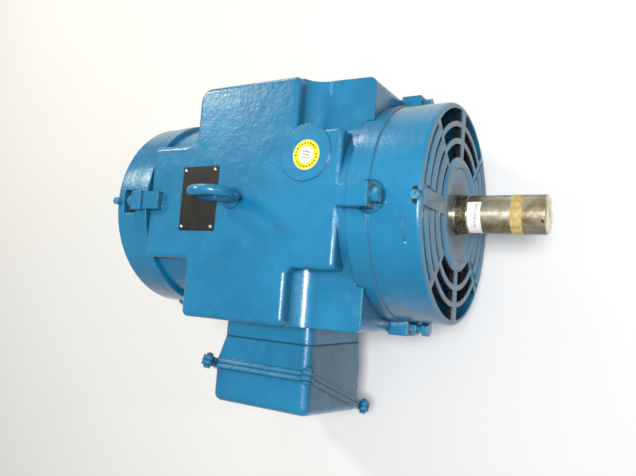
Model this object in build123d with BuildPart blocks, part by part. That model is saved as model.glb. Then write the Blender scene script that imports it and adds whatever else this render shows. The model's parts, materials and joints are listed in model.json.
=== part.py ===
"""Open drip-proof three-phase electric motor on feet, 405T frame proportions.

+X runs along the shaft to the drive end, +Z is up, and the origin is at the centre of the
foot-bolt rectangle on the base plane. All sizes are in millimetres. Radii and "height"
values of the machine's body are measured from the shaft axis.
"""
import os
from math import cos, radians, sin

from build123d import *

# ---------------------------------------------------------------- driving dimensions
axis_z = 254.0                  # shaft height above the base
foot_pitch_x = 349.25           # foot holes along the shaft
foot_pitch_y = 406.4            # foot holes across the shaft
foot_hole_radius = 10.3

frame_front_x = 240.0           # drive-end machined face of the frame
frame_rear_x = -243.0           # opposite machined face
frame_wall = 9.0
body_top = 208.0                # flat top above the axis
body_bottom = -205.0
block_x = (-124.0, 121.0)       # wide middle block
block_half_width = 236.0
arm_x = (-243.0, 220.0)         # narrow top arms
rear_arm_half_width = 119.0
front_arm_half_width = 129.0
plan_corner = 12.0              # moulded corners of the frame in plan
soft_plan_corner = 28.0         # the two softer ones at the rear of the block, +Y side
top_edge_radius = 10.0
side_box_end_x = 255.0          # drive-end side boxes
side_box_top = 157.0
barrel_radius = 207.0
register_radius = 196.0         # bore that locates the brackets

core_half_length = 120.0
stator_radius = 186.0
stator_bore = 117.2
rotor_radius = 116.0
slot_count = 36

shaft_radius = 36.5             # 73 mm extension
shaft_journal_radius = 37.0     # seat of the slinger ring, just ahead of the shoulder
shaft_shoulder_x = 398.5
shaft_tip_x = 540.0

bell_radius = 213.9
bell_wall = 10.0
flange_radius = 216.5
flange_end_x = 281.0
front_face_x = 376.0
rear_flange_end_x = -275.0
rear_face_x = -337.0
face_thickness = 12.0
hub_radius = 92.0

bolt_radius = 8.0               # bracket bolts, M16
lug_width = 42.0
drive_bolt_circle = 225.0       # drive-end lugs stand outside the bell
drive_lug_top = 241.0
drive_lug_x = (252.0, 292.0)
rear_bolt_circle = 212.0        # the opposite ones are sunk into it
rear_lug_top = 228.0
rear_lug_x = (250.0, 277.0)     # distances from the origin towards -X
boss_width = 38.0

pad_centre = (145.0, 85.5)      # round pad on the top of the frame
pad_radius = 54.0
pad_top = body_top + 2.0
eye_bolt_xy = (-19.0, 3.0)
plate_centre = (-102.2, 3.8)
plate_size = (93.5, 132.5)
sticker_centre = (148.6, 80.4)
sticker_radius = 28.3

box_x = (-88.0, 130.0)          # conduit box at its neck
box_z = (-117.0, 111.0)
box_flare_x = -106.0            # left and bottom walls flare out to these
box_flare_z = -128.0
neck_y = -272.5
seat_y = -275.0                 # rear face of the conduit box
flare_end_y = -325.0
box_wall = 6.0
joint_front_y = -333.0          # sloping joint between body and cover, at the top wall
joint_rear_y = -415.0           # and at the bottom wall
cover_front_y = -411.0
cover_rear_y = -428.5
ear_radius = 13.0
box_corner = 20.0               # moulded corners of the box in section
entry_hole = (12.0, -364.0)     # conduit entry in the bottom wall, x and y
entry_radius = 31.0
seat_screw_spots = [(x, z) for x in (-73.0, 115.0) for z in (-101.0, 95.0)]
ground_screw_spot = (21.0, -101.0)

shaft_axis = Axis((0, 0, axis_z), (1, 0, 0))
turning_plane = Plane(origin=(0, 0, axis_z), x_dir=(1, 0, 0), z_dir=(0, -1, 0))

os.makedirs("parts", exist_ok=True)


# ---------------------------------------------------------------- shared helpers
def station(x):
    """Plane across the shaft at x: local x is +Y, local y is the height above the axis."""
    return Plane(origin=(x, 0, axis_z), x_dir=(0, 1, 0), z_dir=(1, 0, 0))


def side_plane(y):
    """Upright plane at y facing -Y: local x is +X, local y is the height above the axis."""
    return Plane(origin=(0, y, axis_z), x_dir=(1, 0, 0), z_dir=(0, -1, 0))


def tube(x_from, x_to, outer, inner=0.0, mode=Mode.ADD):
    """Disc or tube round the shaft axis, added to or cut from the part being built."""
    with BuildSketch(station(x_from)) as ring:
        Circle(outer)
        if inner > 0:
            Circle(inner, mode=Mode.SUBTRACT)
    extrude(ring.sketch, amount=x_to - x_from, mode=mode)


def turned(points, mode=Mode.ADD):
    """Solid of revolution about the shaft from (x, radius) points."""
    with BuildSketch(turning_plane) as half:
        with BuildLine():
            Polyline(*points, close=True)
        make_face()
    revolve(half.sketch, axis=shaft_axis, mode=mode)


def block(x_range, y_range, z_range, corner=0.0, mode=Mode.ADD):
    """Upright block between the given limits, heights measured from the shaft axis."""
    width = x_range[1] - x_range[0]
    depth = y_range[1] - y_range[0]
    with BuildSketch(Plane.XY.offset(axis_z + z_range[0])) as outline:
        with Locations(((x_range[0] + x_range[1]) / 2, (y_range[0] + y_range[1]) / 2)):
            if corner > 0:
                RectangleRounded(width, depth, corner)
            else:
                Rectangle(width, depth)
    extrude(outline.sketch, amount=z_range[1] - z_range[0], mode=mode)


def radial_block(x_range, radius_range, width, angle, mode=Mode.ADD):
    """Block standing on the machine's circumference at an angle from +Y."""
    reach = (radius_range[0] + radius_range[1]) / 2
    with BuildSketch(station(x_range[0])) as outline:
        with PolarLocations(reach, 1, start_angle=angle):
            Rectangle(radius_range[1] - radius_range[0], width)
    extrude(outline.sketch, amount=x_range[1] - x_range[0], mode=mode)


def axial_holes(x_from, x_to, radius, circle, angles, mode=Mode.SUBTRACT):
    """Round holes or rods along X, set on a circle at the given angles from +Y."""
    with BuildSketch(station(x_from)) as dots:
        for angle in angles:
            with PolarLocations(circle, 1, start_angle=angle):
                Circle(radius)
    extrude(dots.sketch, amount=x_to - x_from, mode=mode)


def sector(inner, outer, start, end):
    """Ring sector face in the YZ plane between two radii and two angles."""
    with BuildSketch() as wedge:
        with BuildLine():
            arc_out = CenterArc((0, 0), outer, start, end - start)
            arc_in = CenterArc((0, 0), inner, start, end - start)
            Line(arc_out @ 0, arc_in @ 0)
            Line(arc_out @ 1, arc_in @ 1)
        make_face()
    return wedge.sketch


def save(part, name):
    """Label one finished piece and write it."""
    part.label = name
    export_step(part, f"parts/{name}.step")


# ---------------------------------------------------------------- frame housing
block_mid_x = (block_x[0] + block_x[1]) / 2
quarter_angles = (0, 90, 180, 270)


def cross_outline(inset, corner, soft_corner):
    """Plan of the frame: a wide middle block crossed by the narrower arms."""
    rear_wall_x = block_x[0] + inset
    with BuildSketch() as plan:
        with Locations((block_mid_x, 0)):
            Rectangle(block_x[1] - block_x[0] - 2 * inset, 2 * (block_half_width - inset))
        with Locations(((arm_x[0] + inset) / 2, 0)):
            Rectangle(-arm_x[0] - inset, 2 * (rear_arm_half_width - inset))
        with Locations(((arm_x[1] - inset) / 2, 0)):
            Rectangle(arm_x[1] - inset, 2 * (front_arm_half_width - inset))
        soft = plan.vertices().filter_by(lambda v: abs(v.X - rear_wall_x) < 1 and v.Y > 0)
        plain = [v for v in plan.vertices() if v not in soft]
        fillet(soft, soft_corner)
        fillet([v for v in plan.vertices() if any((v.X - p.X) ** 2 + (v.Y - p.Y) ** 2 < 0.01
                                                  for p in plain)], corner)
    return plan.sketch


def side_box_profile(inset):
    """Side view of the drive-end side boxes, with the hollow sweep up to the block's top."""
    end_x = side_box_end_x - 2.2 * inset
    top = side_box_top - inset
    with BuildSketch(turning_plane) as profile:
        with BuildLine():
            wall = Line((block_x[1] - 30, -top), (block_x[1] - 30, body_top - 20 - inset))
            crown = Line(wall @ 1, (block_x[1] - 2, body_top - 20 - inset))
            sweep_end = (block_x[1] + 44, top + 2)
            ThreePointArc(crown @ 1, (block_x[1] + 8, top + 14), sweep_end)
            deck = Line(sweep_end, (end_x, top - 3))
            front = Line(deck @ 1, (end_x, -top))
            Line(front @ 1, wall @ 0)
        make_face()
    return profile.sketch


with BuildPart() as frame_housing:
    extrude(Plane.XY.offset(axis_z + body_bottom) * cross_outline(0, plan_corner,
                                                                  soft_plan_corner),
            amount=body_top - body_bottom)
    top_rim = frame_housing.faces().sort_by(Axis.Z)[-1].edges()
    fillet(top_rim, top_edge_radius)
    extrude(side_box_profile(0), amount=block_half_width, both=True)
    outer_corners = frame_housing.edges().filter_by(Axis.Z).group_by(Axis.X)[-1]
    fillet(outer_corners, 14)
    tube(frame_rear_x, frame_front_x, barrel_radius)
    with BuildSketch(Plane.XY.offset(axis_z + side_box_top - 12)) as pad_plan:
        with Locations(pad_centre):
            Circle(pad_radius)
    extrude(pad_plan.sketch, amount=pad_top - side_box_top + 12)
    # bolt bosses on both machined faces
    for angle in quarter_angles:
        radial_block((frame_front_x - 12, drive_lug_x[0]), (190, drive_lug_top - 5), boss_width,
                     angle)
        radial_block((-rear_lug_x[0], frame_rear_x + 40), (190, rear_lug_top - 5), boss_width,
                     angle)
    # neck of the conduit box
    with BuildSketch(side_plane(neck_y)) as neck:
        with Locations(((box_x[0] + box_x[1]) / 2, (box_z[0] + box_z[1]) / 2)):
            RectangleRounded(box_x[1] - box_x[0], box_z[1] - box_z[0], box_corner)
    extrude(neck.sketch, amount=neck_y + block_half_width - 20)
    # feet with their pillars
    for side in (-1, 1):
        for end in (-1, 1):
            foot_x = sorted((end * 132.0, end * 218.0))
            pillar_x = sorted((end * 140.0, end * 206.0))
            foot_y = sorted((side * 158.0, side * 241.0))
            pillar_y = sorted((side * 130.0, side * 180.0))
            block(foot_x, foot_y, (-axis_z, 24 - axis_z), 12)
            block(pillar_x, pillar_y, (24 - axis_z, -130))
            block(pillar_x, foot_y, (24 - axis_z, 44 - axis_z))
    for side in (-1, 1):
        block((-132, 132), sorted((side * 165.0, side * 181.0)), (-axis_z + 20, body_bottom + 4))
    # hollow interior, open at both ends
    extrude(Plane.XY.offset(axis_z + body_bottom + frame_wall) * cross_outline(frame_wall, 8, 12),
            amount=body_top - body_bottom - 2 * frame_wall, mode=Mode.SUBTRACT)
    extrude(side_box_profile(frame_wall), amount=block_half_width - frame_wall, both=True,
            mode=Mode.SUBTRACT)
    tube(frame_rear_x, frame_front_x, register_radius, mode=Mode.SUBTRACT)
    tube(frame_front_x, side_box_end_x + 2, flange_radius + 0.3, mode=Mode.SUBTRACT)
    tube(-rear_lug_x[0] - 2, frame_rear_x, flange_radius + 0.3, mode=Mode.SUBTRACT)
    for angle in (0, 180):
        radial_block((drive_lug_x[0], side_box_end_x + 2), (200, drive_lug_top + 4),
                     lug_width + 6, angle, mode=Mode.SUBTRACT)
    # bulkheads and the sleeve that grips the stator core
    for x in (-105.0, 95.0):
        with BuildSketch(station(x)) as bulkhead:
            with Locations((0, (body_top + body_bottom) / 2)):
                Rectangle(2 * block_half_width - 8, body_top - body_bottom - 8)
            Circle(stator_radius, mode=Mode.SUBTRACT)
            for corner_angle in (40, 140, 220, 320):
                with PolarLocations(248, 1, start_angle=corner_angle):
                    Circle(24, mode=Mode.SUBTRACT)
            with Locations((-213, 0)):
                Circle(13.8, mode=Mode.SUBTRACT)
        extrude(bulkhead.sketch, amount=10)
    tube(-core_half_length, core_half_length, register_radius + 1, stator_radius)
    # openings: conduit neck, bolt threads, foot holes, air outlets in the floor
    block((-58, 100), (neck_y - 1, -block_half_width + 22), (-86, 80), 10, mode=Mode.SUBTRACT)
    axial_holes(drive_lug_x[0] - 34, drive_lug_x[0], bolt_radius, drive_bolt_circle,
                quarter_angles)
    axial_holes(-rear_lug_x[0], 34 - rear_lug_x[0], bolt_radius, rear_bolt_circle,
                quarter_angles)
    with BuildSketch(Plane.XY) as foot_holes:
        with GridLocations(foot_pitch_x, foot_pitch_y, 2, 2):
            Circle(foot_hole_radius)
    extrude(foot_holes.sketch, amount=46, mode=Mode.SUBTRACT)
    with BuildSketch(Plane.XY.offset(axis_z + body_bottom - 2)) as outlets:
        with GridLocations(150, 26, 1, 9):
            SlotOverall(170, 14)
    extrude(outlets.sketch, amount=frame_wall + 4, mode=Mode.SUBTRACT)
    # eye-bolt thread and the four tapped holes of the box seat
    with BuildSketch(Plane.XY.offset(axis_z + body_top + 1)) as eye_thread:
        with Locations(eye_bolt_xy):
            Circle(9.5)
    extrude(eye_thread.sketch, amount=-12, mode=Mode.SUBTRACT)
    with BuildSketch(side_plane(neck_y + 17)) as seat_threads:
        with Locations(*seat_screw_spots):
            Circle(4.0)
    extrude(seat_threads.sketch, amount=18, mode=Mode.SUBTRACT)
save(frame_housing.part, "frame_housing")


# ---------------------------------------------------------------- end brackets
louvre_rows = ((110.5, 118.0), (141.0, 149.0), (171.0, 179.0), (197.0, 203.5))
blade_rows = ((118.5, 140.5), (149.5, 170.5), (179.5, 196.5))
window_rows = ((110.5, 136.0), (147.0, 169.0), (179.0, 203.5))
lip_row = (88.0, 108.0)         # rounded lip round the bearing hub
louvre_starts = (47, 96, 227, 276)
louvre_arc = 37
window_starts = (-43, 3.5, 137, 183.5)
window_arc = 39.5
blade_crown = 4.0
web_width = 30.0
hub_face_radius = 87.0
rib_angles = (38, 90, 142, 218, 270, 322)
cap_screw_circle = 86.0
cap_screw_angles = (20, 110, 200, 290)
baffle_screw_circle = 191.0
baffle_screw_angles = (45, 135, 225, 315)
spigot_length = 8.0
spigot_inner = 186.0


def grille_openings(face_x):
    """Cut the louvre slots above and below and the barred windows on both sides."""
    back = station(face_x - face_thickness - 1)
    depth = face_thickness + 5
    for rows, starts, arc in ((louvre_rows, louvre_starts, louvre_arc),
                              (window_rows, window_starts, window_arc)):
        for inner, outer in rows:
            for start in starts:
                extrude(back * sector(inner, outer, start, start + arc), amount=depth,
                        mode=Mode.SUBTRACT)


def rounded_ring(face_x, inner, outer, crown, start=0.0, arc=360.0):
    """Ring, or part of one, standing on the grille face with a rounded crest."""
    tilt = radians(start)
    plane = Plane(origin=(0, 0, axis_z), x_dir=(1, 0, 0), z_dir=(0, -sin(tilt), cos(tilt)))
    with BuildSketch(plane) as section:
        with BuildLine():
            crest = ThreePointArc((face_x - 1, inner), (face_x + crown, (inner + outer) / 2),
                                  (face_x - 1, outer))
            Line(crest @ 1, crest @ 0)
        make_face()
    revolve(section.sketch, axis=shaft_axis, revolution_arc=arc)


def radial_pocket(x, angle, radius, floor):
    """Round pocket cut inwards from outside, square to the circumference at an angle."""
    outward = Vector(0, cos(radians(angle)), sin(radians(angle)))
    with BuildSketch(Plane(origin=Vector(x, 0, axis_z) + outward * floor, x_dir=(1, 0, 0),
                           z_dir=outward)) as spot:
        Circle(radius)
    extrude(spot.sketch, amount=60, mode=Mode.SUBTRACT)


def sink_pockets(start_x, circle):
    """Pockets behind sunken bolt lugs, with pads that close them inside the bell."""
    floor = circle - 15
    for angle in quarter_angles:
        radial_block((start_x - 4, start_x + 46), (floor - 12, 206), 62, angle)
        radial_block((start_x, start_x + 38), (floor, 250), 50, angle, mode=Mode.SUBTRACT)


def end_bracket(frame_x, flange_end, face_x, seat, seat_radius, shaft_hole, lug_x, lug_top,
                bolt_circle):
    """Bell-shaped bracket with its bearing hub, facing +X."""
    inner_face = face_x - face_thickness
    with BuildPart() as bracket:
        tube(frame_x - spigot_length, frame_x + 6, register_radius, spigot_inner)
        tube(frame_x, flange_end, flange_radius, spigot_inner)
        tube(flange_end, face_x, bell_radius, bell_radius - bell_wall)
        tube(inner_face, face_x, bell_radius)
        rim = bracket.edges().filter_by(GeomType.CIRCLE).sort_by(Axis.X)[-1]
        fillet(rim, 8)
        tube(seat[0], face_x, hub_radius)
        for angle in rib_angles:
            radial_block((seat[0] + 8, inner_face + 2), (hub_radius - 3, bell_radius - 4), 8, angle)
        if bolt_circle < bell_radius:
            sink_pockets(lug_x[1], bolt_circle)
        else:
            for angle in quarter_angles:
                pocket_x = lug_x[1] + 14 if angle == 180 else lug_x[1] - 8
                radial_pocket(pocket_x, angle, 29, bell_radius - 4)
        for angle in quarter_angles:
            radial_block(lug_x, (200, lug_top), lug_width, angle)
        grille_openings(face_x)
        rounded_ring(face_x, *lip_row, blade_crown + 2)
        for inner, outer in blade_rows:
            for start in louvre_starts:
                rounded_ring(face_x, inner, outer, blade_crown, start, louvre_arc)
        for angle in (90, 270):
            radial_block((face_x - 4, face_x + blade_crown), (hub_radius, bell_radius - 10),
                         web_width, angle)
        tube(seat[0] - 1, seat[1], seat_radius, mode=Mode.SUBTRACT)
        if shaft_hole > 0:
            tube(seat[1] - 1, face_x + 3, shaft_hole, mode=Mode.SUBTRACT)
        turned([(face_x - 3, 0.0), (face_x - 3, 50.0), (face_x + 0.01, hub_face_radius),
                (face_x + 3, hub_face_radius), (face_x + 3, 0.0)], mode=Mode.SUBTRACT)
        axial_holes(frame_x - 10, lug_x[1] + 1, bolt_radius + 0.6, bolt_circle, quarter_angles)
        axial_holes(seat[0] - 1, seat[0] + 22, 3.0, cap_screw_circle, cap_screw_angles)
        axial_holes(frame_x - spigot_length - 1, frame_x + 10, 2.5, baffle_screw_circle,
                    baffle_screw_angles)
        with BuildSketch(Plane.XY.offset(axis_z + bell_radius + 2)) as grease_hole:
            with Locations((face_x - 8, 0)):
                Circle(3.4)
        extrude(grease_hole.sketch, amount=-40, mode=Mode.SUBTRACT)
    return bracket.part


drive_seat = (314.0, 351.0)         # 75 x 160 x 37 ball bearing
rear_seat = (289.0, 324.5)          # 65 x 140 x 33 ball bearing and its spring

drive_end_bracket = end_bracket(frame_front_x, flange_end_x, front_face_x, drive_seat, 80.0,
                                38.0, drive_lug_x, drive_lug_top, drive_bolt_circle)
save(drive_end_bracket, "drive_end_bracket")

rear_bracket_mirror = end_bracket(-frame_rear_x, -rear_flange_end_x, -rear_face_x, rear_seat,
                                  70.0, 0.0, rear_lug_x, rear_lug_top, rear_bolt_circle)
opposite_end_bracket = mirror(rear_bracket_mirror, about=Plane.YZ)
save(opposite_end_bracket, "opposite_end_bracket")


# ---------------------------------------------------------------- bracket bolts and washers
def hex_bolt(head_x, head_length, across_corners, shank_from, radius, angle, circle):
    """One hexagon bolt along X, its head facing +X."""
    with BuildSketch(station(head_x)) as head:
        with PolarLocations(circle, 1, start_angle=angle):
            RegularPolygon(across_corners, 6)
    extrude(head.sketch, amount=head_length)
    axial_holes(shank_from, head_x + 1, radius, circle, (angle,), mode=Mode.ADD)


def bracket_bolts(lug_x, bolt_circle):
    """Four M16 bolts; the one at the conduit side stands part-way out on a lock nut."""
    with BuildPart() as bolts:
        for angle in quarter_angles:
            stand_off = 23.0 if angle == 180 else 3.0
            hex_bolt(lug_x[1] + stand_off, 14.0, 13.8, lug_x[0] - 24, bolt_radius, angle,
                     bolt_circle)
    return bolts.part


def bolt_washers(lug_x, bolt_circle):
    """Spring washers under the bolt heads, and the thicker lock nut at the conduit side."""
    with BuildPart() as washers:
        for angle in quarter_angles:
            with BuildSketch(station(lug_x[1])) as ring:
                with PolarLocations(bolt_circle, 1, start_angle=angle):
                    if angle == 180:
                        RegularPolygon(13.0, 6)
                    else:
                        Circle(13.5)
                    Circle(bolt_radius, mode=Mode.SUBTRACT)
            extrude(ring.sketch, amount=14.0 if angle == 180 else 3.0)
    return washers.part


save(bracket_bolts(drive_lug_x, drive_bolt_circle), "drive_end_bracket_bolts")
save(bolt_washers(drive_lug_x, drive_bolt_circle), "drive_end_bolt_washers")
save(mirror(bracket_bolts(rear_lug_x, rear_bolt_circle), about=Plane.YZ),
     "opposite_end_bracket_bolts")
save(mirror(bolt_washers(rear_lug_x, rear_bolt_circle), about=Plane.YZ),
     "opposite_end_bolt_washers")


# ---------------------------------------------------------------- grease plugs
def grease_plug(x):
    """Hexagon pipe plug in the rim of a bell, above the greasing duct."""
    with BuildPart() as plug:
        with BuildSketch(Plane.XY.offset(axis_z + bell_radius)) as head:
            with Locations((x, 0)):
                RegularPolygon(8.5, 6)
        extrude(head.sketch, amount=11)
        with BuildSketch(Plane.XY.offset(axis_z + bell_radius)) as neck:
            with Locations((x, 0)):
                Circle(3.4)
        extrude(neck.sketch, amount=-14)
    return plug.part


save(grease_plug(front_face_x - 8), "drive_end_grease_plug")
save(grease_plug(rear_face_x + 8), "opposite_end_grease_plug")


# ---------------------------------------------------------------- shaft and rotor
rotor_seat_radius = 48.0
bar_count = 36
bar_radius = 4.4
bar_circle = 107.0
key_width = 19.05
keyway_start_x = 408.0
keyway_angle = 300

with BuildPart() as shaft:
    turned([(-323.5, 0), (-323.5, 31.5), (-322.5, 32.5), (-289, 32.5), (-289, 38), (-205, 38),
            (-205, 44), (-150, 44), (-150, rotor_seat_radius), (150, rotor_seat_radius),
            (150, 44), (drive_seat[0], 44), (drive_seat[0], 37.5), (drive_seat[1], 37.5),
            (drive_seat[1], shaft_journal_radius), (shaft_shoulder_x, shaft_journal_radius),
            (shaft_shoulder_x, shaft_radius),
            (shaft_tip_x - 2.5, shaft_radius), (shaft_tip_x, shaft_radius - 2.5),
            (shaft_tip_x, 4), (shaft_tip_x - 9, 0)])
    radial_block((keyway_start_x, shaft_tip_x + 1), (27.5, 40), key_width, keyway_angle,
                 mode=Mode.SUBTRACT)
save(shaft.part, "shaft")

with BuildPart() as shaft_slinger:
    turned([(378.5, shaft_journal_radius), (378.5, 39), (381, 39), (381, 37.6), (385, 37.6),
            (385, 38.6), (389, 38.6), (389, 37.6), (397, 37.6), (398, shaft_journal_radius)])
save(shaft_slinger.part, "shaft_slinger")

with BuildPart() as rotor_core:
    tube(-core_half_length, core_half_length, rotor_radius, rotor_seat_radius)
    with BuildSketch(station(-core_half_length)) as bar_holes:
        with PolarLocations(bar_circle, bar_count):
            Circle(bar_radius)
    extrude(bar_holes.sketch, amount=2 * core_half_length, mode=Mode.SUBTRACT)
    with BuildSketch(station(-core_half_length)) as cooling_holes:
        with PolarLocations(74, 8):
            Circle(11)
    extrude(cooling_holes.sketch, amount=2 * core_half_length, mode=Mode.SUBTRACT)
save(rotor_core.part, "rotor_core")

with BuildPart() as rotor_cage:
    with BuildSketch(station(-core_half_length - 2)) as bars:
        with PolarLocations(bar_circle, bar_count):
            Circle(bar_radius)
    extrude(bars.sketch, amount=2 * core_half_length + 4)
    for end in (-1, 1):
        ring_x = sorted((end * core_half_length, end * (core_half_length + 20)))
        blade_x = sorted((end * (core_half_length + 18), end * (core_half_length + 46)))
        tube(ring_x[0], ring_x[1], 114, 92)
        with BuildSketch(station(blade_x[0])) as blades:
            with PolarLocations(101, 12):
                Rectangle(24, 5)
        extrude(blades.sketch, amount=blade_x[1] - blade_x[0])
save(rotor_cage.part, "rotor_cage")


# ---------------------------------------------------------------- stator
with BuildPart() as stator_core:
    tube(-core_half_length, core_half_length, stator_radius, stator_bore)
    with BuildSketch(station(-core_half_length)) as slots:
        with PolarLocations(133, slot_count):
            Rectangle(34, 9)
    extrude(slots.sketch, amount=2 * core_half_length, mode=Mode.SUBTRACT)
save(stator_core.part, "stator_core")

with BuildPart() as stator_winding:
    with BuildSketch(station(-core_half_length - 4)) as coil_sides:
        with PolarLocations(134.5, slot_count):
            Rectangle(28, 8.4)
    extrude(coil_sides.sketch, amount=2 * core_half_length + 8)
    for end in (-1, 1):
        coil_end = [(122, 121), (168, 121), (178, 130), (178, 148), (168, 158), (122, 158)]
        turned([(end * x, radius) for x, radius in coil_end])
save(stator_winding.part, "stator_winding")


# ---------------------------------------------------------------- bearings
def ball_bearing(side, start, width, bore, outside, ball, count):
    """Deep-groove bearing as races, balls and cage."""
    mid_x = start + width / 2
    pitch = (bore + outside) / 2
    race = 0.29 * (outside - bore)
    groove = Plane(origin=(mid_x, 0, axis_z + pitch), x_dir=(1, 0, 0), z_dir=(0, -1, 0))
    with BuildSketch(groove) as groove_section:
        Circle(ball + 0.06)
    with BuildPart() as inner_race:
        tube(start, start + width, bore + race, bore)
        revolve(groove_section.sketch, axis=shaft_axis, mode=Mode.SUBTRACT)
    with BuildPart() as outer_race:
        tube(start, start + width, outside, outside - race)
        revolve(groove_section.sketch, axis=shaft_axis, mode=Mode.SUBTRACT)
    with BuildPart(station(mid_x)) as balls:
        with PolarLocations(pitch, count):
            Sphere(ball)
    with BuildPart(station(mid_x)) as cage:
        with BuildSketch(station(mid_x - ball - 2)) as band:
            Circle(pitch + 2.5)
            Circle(pitch - 2.5, mode=Mode.SUBTRACT)
        extrude(band.sketch, amount=2 * ball + 4)
        with PolarLocations(pitch, count):
            Cylinder(ball + 0.1, 16, rotation=(0, 90, 0), mode=Mode.SUBTRACT)
    save(inner_race.part, f"{side}_bearing_inner_race")
    save(outer_race.part, f"{side}_bearing_outer_race")
    save(balls.part, f"{side}_bearing_balls")
    save(cage.part, f"{side}_bearing_cage")


ball_bearing("drive_end", drive_seat[0], 37.0, 37.5, 80.0, 12.0, 8)
ball_bearing("opposite_end", -322.0, 33.0, 32.5, 70.0, 10.3, 8)

with BuildPart() as preload_spring:
    tube(-324.4, -322.0, 69.0, 60.0)
save(preload_spring.part, "bearing_preload_spring")


def inner_bearing_cap(face_x, direction):
    """Ring that closes the grease chamber on the winding side of a hub."""
    ends = sorted((face_x, face_x - direction * 9))
    with BuildPart() as cap:
        tube(ends[0], ends[1], hub_radius - 1.5, 46.0)
        axial_holes(ends[0], ends[1], 3.0, cap_screw_circle, cap_screw_angles)
    return cap.part


def cap_screws(face_x, direction):
    """Four M6 screws that hold an inner bearing cap to its hub."""
    under_head = face_x - direction * 9
    head = sorted((under_head, under_head - direction * 5))
    shank = sorted((under_head, face_x + direction * 18))
    with BuildPart() as screws:
        axial_holes(head[0], head[1], 5.2, cap_screw_circle, cap_screw_angles, mode=Mode.ADD)
        axial_holes(shank[0], shank[1], 3.0, cap_screw_circle, cap_screw_angles, mode=Mode.ADD)
    return screws.part


save(inner_bearing_cap(drive_seat[0], 1), "drive_end_inner_cap")
save(cap_screws(drive_seat[0], 1), "drive_end_cap_screws")
save(inner_bearing_cap(-rear_seat[0], -1), "opposite_end_inner_cap")
save(cap_screws(-rear_seat[0], -1), "opposite_end_cap_screws")


# ---------------------------------------------------------------- air baffles
def air_baffle(frame_x):
    """Sheet cone that steers cooling air over the coil ends, facing +X."""
    edge = frame_x - spigot_length
    with BuildPart() as baffle:
        turned([(edge - 2, 195), (edge, 195), (edge, 184), (edge - 28, 126), (edge - 30, 127),
                (edge - 2, 186)])
        axial_holes(edge - 3, edge + 1, 2.5, baffle_screw_circle, baffle_screw_angles)
    return baffle.part


def baffle_screws(frame_x):
    """Four M5 screws through the rim of an air baffle."""
    edge = frame_x - spigot_length
    with BuildPart() as screws:
        axial_holes(edge - 5.5, edge - 2, 3.9, baffle_screw_circle, baffle_screw_angles,
                    mode=Mode.ADD)
        axial_holes(edge - 2, edge + 8, 2.5, baffle_screw_circle, baffle_screw_angles,
                    mode=Mode.ADD)
    return screws.part


save(air_baffle(frame_front_x), "drive_end_air_baffle")
save(baffle_screws(frame_front_x), "drive_end_baffle_screws")
save(mirror(air_baffle(-frame_rear_x), about=Plane.YZ), "opposite_end_air_baffle")
save(mirror(baffle_screws(-frame_rear_x), about=Plane.YZ), "opposite_end_baffle_screws")


# ---------------------------------------------------------------- fittings on the frame's top
eye_major = 40.5
eye_minor = 10.0
eye_centre_height = 261.0

eye_base = Plane((eye_bolt_xy[0], eye_bolt_xy[1], axis_z + body_top))
eye_plane = Plane(origin=(eye_bolt_xy[0], eye_bolt_xy[1], axis_z + eye_centre_height),
                  x_dir=(1, 0, 0), z_dir=(0, -1, 0))

with BuildPart(eye_plane) as eye_bolt:
    Torus(eye_major, eye_minor)
    with BuildSketch(eye_base) as collar:
        Circle(22)
    with BuildSketch(eye_base.offset(7)) as waist:
        Circle(17)
    loft([collar.sketch.face(), waist.sketch.face()])
    with BuildSketch(eye_base.offset(-11)) as shank:
        Circle(9.5)
    extrude(shank.sketch, amount=12)
save(eye_bolt.part, "eye_bolt")

rivet_points = [(plate_centre[0] + sx * 38.7, plate_centre[1] + sy * 58.2)
                for sx in (-1, 1) for sy in (-1, 1)]

with BuildPart() as nameplate:
    with BuildSketch(Plane.XY.offset(axis_z + body_top)) as plate_outline:
        with Locations(plate_centre):
            RectangleRounded(*plate_size, 3)
        with Locations(*rivet_points):
            Circle(1.6, mode=Mode.SUBTRACT)
    extrude(plate_outline.sketch, amount=1.2)
save(nameplate.part, "nameplate")

with BuildPart(Plane.XY.offset(axis_z + body_top + 1.2)) as nameplate_rivets:
    with Locations(*rivet_points):
        Sphere(4.2, arc_size1=0, align=(Align.CENTER, Align.CENTER, Align.MIN))
    with BuildSketch(Plane.XY.offset(axis_z + body_top)) as rivet_shanks:
        with Locations(*rivet_points):
            Circle(1.6)
    extrude(rivet_shanks.sketch, amount=1.3)
save(nameplate_rivets.part, "nameplate_rivets")

with BuildPart() as inspection_sticker:
    with BuildSketch(Plane.XY.offset(axis_z + pad_top)) as disc:
        with Locations(sticker_centre):
            Circle(sticker_radius)
    extrude(disc.sketch, amount=0.4)
save(inspection_sticker.part, "inspection_sticker")


# ---------------------------------------------------------------- conduit box
joint_top_z = box_z[1]
joint_bottom_z = -125.0
joint_slope = Vector(0, joint_front_y - joint_rear_y, joint_top_z - joint_bottom_z).normalized()
joint_normal = Vector(0, -joint_slope.Z, joint_slope.Y)
joint_mid_x = (box_flare_x + box_x[1]) / 2
joint_plane = Plane(origin=(joint_mid_x, (joint_front_y + joint_rear_y) / 2,
                            axis_z + (joint_top_z + joint_bottom_z) / 2),
                    x_dir=(1, 0, 0), z_dir=joint_normal)
cover_slope = Vector(0, cover_front_y - cover_rear_y, box_z[1] - box_z[0]).normalized()
cover_plane = Plane(origin=(joint_mid_x, cover_front_y, axis_z + box_z[1]), x_dir=(1, 0, 0),
                    z_dir=Vector(0, -cover_slope.Z, cover_slope.Y))
gasket_thickness = 1.5
rim_thickness = 9.0
joint_half_length = (box_z[1] - box_flare_z) / 2 / joint_slope.Z
joint_centre_v = -1.6
box_opening_x = (-58.0, 100.0)
box_opening_z = (-86.0, 80.0)


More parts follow.
